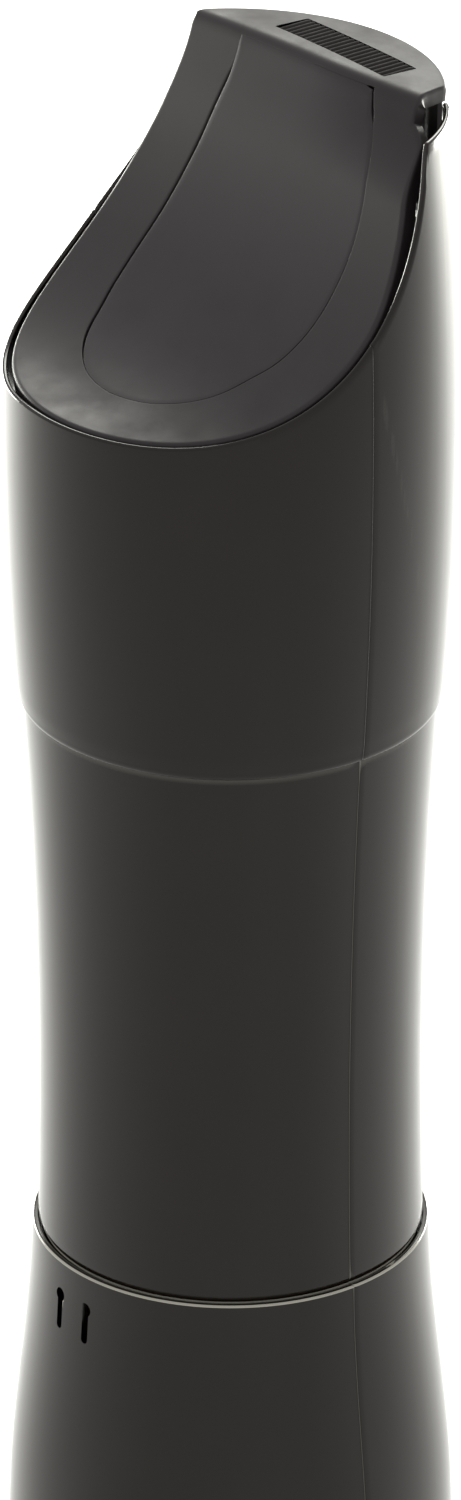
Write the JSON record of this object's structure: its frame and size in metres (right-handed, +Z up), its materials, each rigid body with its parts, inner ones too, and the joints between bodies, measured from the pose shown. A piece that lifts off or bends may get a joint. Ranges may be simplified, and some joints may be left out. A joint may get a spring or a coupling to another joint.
{
  "type": "electric can opener",
  "caption": "Tall round electric can opener with a flared base, waisted middle and scooped press lever with a ribbed thumb pad; feed wheel, cutter and magnet in front.",
  "frame": {"origin": "centre of the underside of the foot, on the surface it stands on", "axes": "+Z up the round body, -Y towards the front with the cutter, +Y towards the rear with the cord entry, +X to the right when seen from the front"},
  "size_m": [0.0724, 0.0724, 0.2663],
  "materials": {
    "charcoal_shell": "warm charcoal, glossy moulded plastic",
    "lever_shell": "charcoal, satin to glossy moulded plastic",
    "satin_panel": "charcoal, satin moulded plastic",
    "grip_rubber": "near-black ribbed soft grip",
    "foot_rubber": "black rubber",
    "black_plastic": "black moulded plastic",
    "polished_steel": "polished plate",
    "steel": "plain machined steel",
    "brass": "turned brass",
    "nylon": "natural nylon",
    "iron": "cast weight",
    "board": "green circuit board",
    "components": "moulded electrical components",
    "red_plastic": "red moulded plastic"
  },
  "bodies": {
    "housing": {"base_front_shell": "charcoal_shell", "base_rear_shell": "charcoal_shell", "mid_front_shell": "charcoal_shell", "mid_rear_shell": "charcoal_shell", "upper_front_shell": "charcoal_shell", "upper_rear_shell": "charcoal_shell", "base_plate": "black_plastic", "foot_ring": "foot_rubber", "ballast_weight": "iron", "cord_gland": "black_plastic", "base_screws": "steel", "shell_screws": "steel", "face_plate": "polished_steel", "face_screws": "steel", "front_gear_plate": "steel", "rear_gear_plate": "steel", "plate_spacers": "steel", "plate_screws": "steel", "gear_axles": "steel", "shaft_bushes": "brass", "motor_case": "steel", "motor_end_cap": "black_plastic", "motor_screws": "steel", "switch_case": "black_plastic", "circuit_board": "board", "board_components": "components", "board_screws": "steel", "hinge_pin": "steel"},
    "lever": {"lever_cap": "lever_shell", "lever_tongue": "satin_panel", "grip_pad": "grip_rubber", "cutter_bracket": "steel", "bracket_screws": "steel", "cutter_pivot": "steel", "magnet_pin": "steel"},
    "cutter": {"cutter_wheel": "polished_steel"},
    "magnet": {"magnet_arm": "black_plastic", "lid_magnet": "steel"},
    "plunger": {"switch_plunger": "red_plastic"},
    "rotor": {"motor_rotor": "steel", "motor_pinion": "brass"},
    "first_wheel": {"first_gear": "nylon"},
    "second_wheel": {"second_gear": "nylon"},
    "drive": {"drive_gear": "nylon", "drive_shaft": "steel", "feed_wheel": "steel"}
  },
  "joints": [
    {"name": "lever_press", "type": "hinge", "parent": "housing", "child": "lever", "pos_m": [0, 0.0292, 0.2135], "axis": [-1, 0, 0], "range_deg": [-0.5, 3]},
    {"name": "cutter_spin", "type": "hinge", "parent": "lever", "child": "cutter", "pos_m": [0, -0.0317, 0.2437], "axis": [0, 1, 0], "continuous": true},
    {"name": "magnet_swing", "type": "hinge", "parent": "lever", "child": "magnet", "pos_m": [0.013, -0.0297, 0.2473], "axis": [-1, 0, 0], "range_deg": [0, 45]},
    {"name": "switch_travel", "type": "slide", "parent": "housing", "child": "plunger", "axis": [0, 0, 1], "range_m": [-0.0006, 0.0028]},
    {"name": "rotor_spin", "type": "hinge", "parent": "housing", "child": "rotor", "pos_m": [-0.00028, 0, 0.19077], "axis": [0, 1, 0], "continuous": true},
    {"name": "first_wheel_spin", "type": "hinge", "parent": "housing", "child": "first_wheel", "pos_m": [-0.00662, 0, 0.20437], "axis": [0, 1, 0], "continuous": true},
    {"name": "second_wheel_spin", "type": "hinge", "parent": "housing", "child": "second_wheel", "pos_m": [0.0104, 0, 0.20799], "axis": [0, 1, 0], "continuous": true},
    {"name": "feed_wheel_spin", "type": "hinge", "parent": "housing", "child": "drive", "pos_m": [0, 0, 0.226], "axis": [0, 1, 0], "continuous": true}
  ],
  "couplings": [
    {"joint": "switch_travel", "follows": "lever_press", "m_per_rad": 0.0442},
    {"joint": "first_wheel_spin", "follows": "rotor_spin", "ratio": -0.25},
    {"joint": "second_wheel_spin", "follows": "rotor_spin", "ratio": 0.052083},
    {"joint": "feed_wheel_spin", "follows": "rotor_spin", "ratio": -0.015625}
  ]
}
